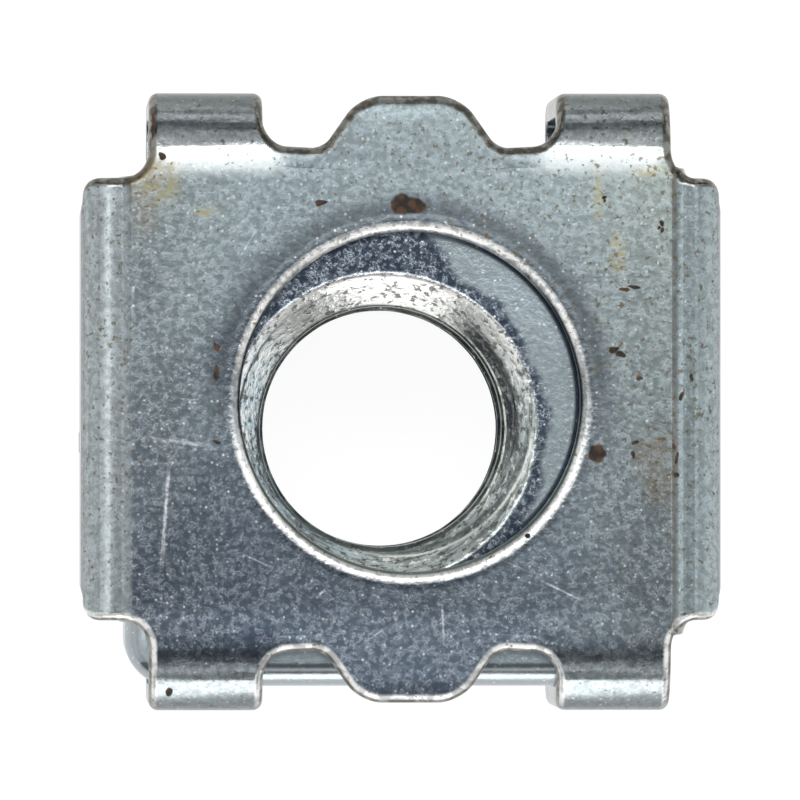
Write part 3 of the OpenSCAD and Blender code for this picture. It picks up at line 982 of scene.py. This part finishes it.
def zincNut():
    material, tree, shader = newMaterial("zincNut")
    coords = ownPlace(tree)
    at = nutPlaces(tree, coords)
    colour = nutFace(tree, at, coords)
    colour = blend(tree, at.sink, colour, threadCrests(tree, at, sinkAndBore(tree, at)))
    points = times(tree, at.grain["Points"], 0.85, ramp(tree, at.pale, 0, 1, 1, 0.5))
    colour = blend(tree, points, colour, nutFinish["points"])
    tree.links.new(colour, shader.inputs["Base Color"])
    tree.links.new(inverse(tree, times(tree, at.pits, at.sink, 0.4)), shader.inputs["Metallic"])
    rough = plus(tree, ramp(tree, at.cloud, 0.3, 0.7, 0.20, 0.26), times(tree, at.sink, 0.08))
    tree.links.new(rough, shader.inputs["Roughness"])
    height = plus(tree, times(tree, at.grain["Height"], 0.5), times(tree, at.swirl, at.sink, 3.0))
    relief(tree, shader, height, nutFinish["grainDepth"])
    return material


cageSheet.data.materials.append(zincSheet())
nutTapped.data.materials.append(zincNut())
print("finishes laid on")

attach(cageSheet, "root")
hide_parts("spring_cage")
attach(nutTapped, "root")
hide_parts("square_nut")


# Floor: plain pale paper that mirrors and the camera see as white
def paper(grey=0.2, glow=0.9):
    material, tree, shader = newMaterial("paper")
    shader.inputs["Base Color"].default_value = (grey, grey, grey, 1)
    shader.inputs["Roughness"].default_value = 1.0
    shader.inputs["Specular IOR Level"].default_value = 0.0
    shader.inputs["Emission Color"].default_value = (1, 1, 1, 1)
    rays = tree.nodes.new("ShaderNodeLightPath")
    seen = rays.outputs["Is Camera Ray"]
    for ray in ("Is Glossy Ray", "Is Transmission Ray"):
        seen = larger(tree, seen, rays.outputs[ray])
    tree.links.new(times(tree, seen, glow), shader.inputs["Emission Strength"])
    return material


floorMesh = bpy.data.meshes.new("floor")
bm = bmesh.new()
bmesh.ops.create_grid(bm, x_segments=1, y_segments=1, size=0.6)
bm.to_mesh(floorMesh)
bm.free()
floor = bpy.data.objects.new("floor", floorMesh)
bpy.context.scene.collection.objects.link(floor)
floorMesh.materials.append(paper())

# Light, in metres: name, compass angle from +X, lean from straight up, distance, width and height, strength.
# Width lies across the compass direction, and height towards it.
softboxes = [
    ("key", 89, 15.2, 0.6, (0.50, 0.15), 5.1),
    ("overhead", 90, 1.5, 0.7, (0.90, 0.20), 0.56),
    ("strip", 90, 38.5, 0.5, (0.40, 0.13), 0.5),
    ("far", 90, 72, 0.5, (0.60, 0.17), 0.9),
    ("low", -90, 75, 0.5, (0.44, 0.26), 2.9),
    ("near", -90, 37, 0.6, (0.40, 0.15), 0.9),
    ("left", 180, 33, 0.6, (0.90, 0.42), 0.95),
    ("left low", 180, 72, 0.6, (0.90, 0.36), 0.85),
    ("right", 0, 39, 0.6, (0.90, 0.34), 0.85),
    ("right low", 0, 72, 0.6, (0.90, 0.36), 0.95),
]
room = {"colour": (0.94, 0.98, 1, 1), "strength": 0.12}


def aimed(name, data, place, away, side):
    # an object that looks back along away, with side to its right
    holder = bpy.data.objects.new(name, data)
    holder.location = place
    holder.rotation_euler = Matrix((side, away.cross(side), away)).transposed().to_euler()
    bpy.context.scene.collection.objects.link(holder)
    return holder


for name, compass, lean, distance, (width, height), strength in softboxes:
    light = bpy.data.lights.new(name, "AREA")
    light.shape = "RECTANGLE"
    light.size, light.size_y = width, height
    light.energy = strength * math.pi * width * height
    a, b = math.radians(compass), math.radians(lean)
    away = Vector((math.sin(b) * math.cos(a), math.sin(b) * math.sin(a), math.cos(b)))
    aimed(name, light, away * distance, away, Vector((-math.sin(a), math.cos(a), 0)))

world = bpy.data.worlds.new("studio")
bpy.context.scene.world = world
world.use_nodes = True
background = world.node_tree.nodes["Background"]
background.inputs["Color"].default_value = room["colour"]
background.inputs["Strength"].default_value = room["strength"]

view = {
    "lens": 481.6,
    "target": (-0.038, 0.031, 9.0),
    "slide": (-2.03, -0.24),      # degrees off straight down, towards +X and +Y
    "distance": 223,
}
camera = bpy.data.cameras.new("camera")
camera.lens = view["lens"]
camera.sensor_width = 36
camera.clip_start = 0.01
camera.clip_end = 10
away = Vector((*[math.tan(math.radians(slide)) for slide in view["slide"]], 1)).normalized()
place = Vector(view["target"]) * mm + away * view["distance"] * mm
bpy.context.scene.camera = aimed("camera", camera, place, away, Vector((0, 1, 0)).cross(away).normalized())
bpy.context.scene.view_settings.view_transform = "Standard"
print("floor, lights and camera set")
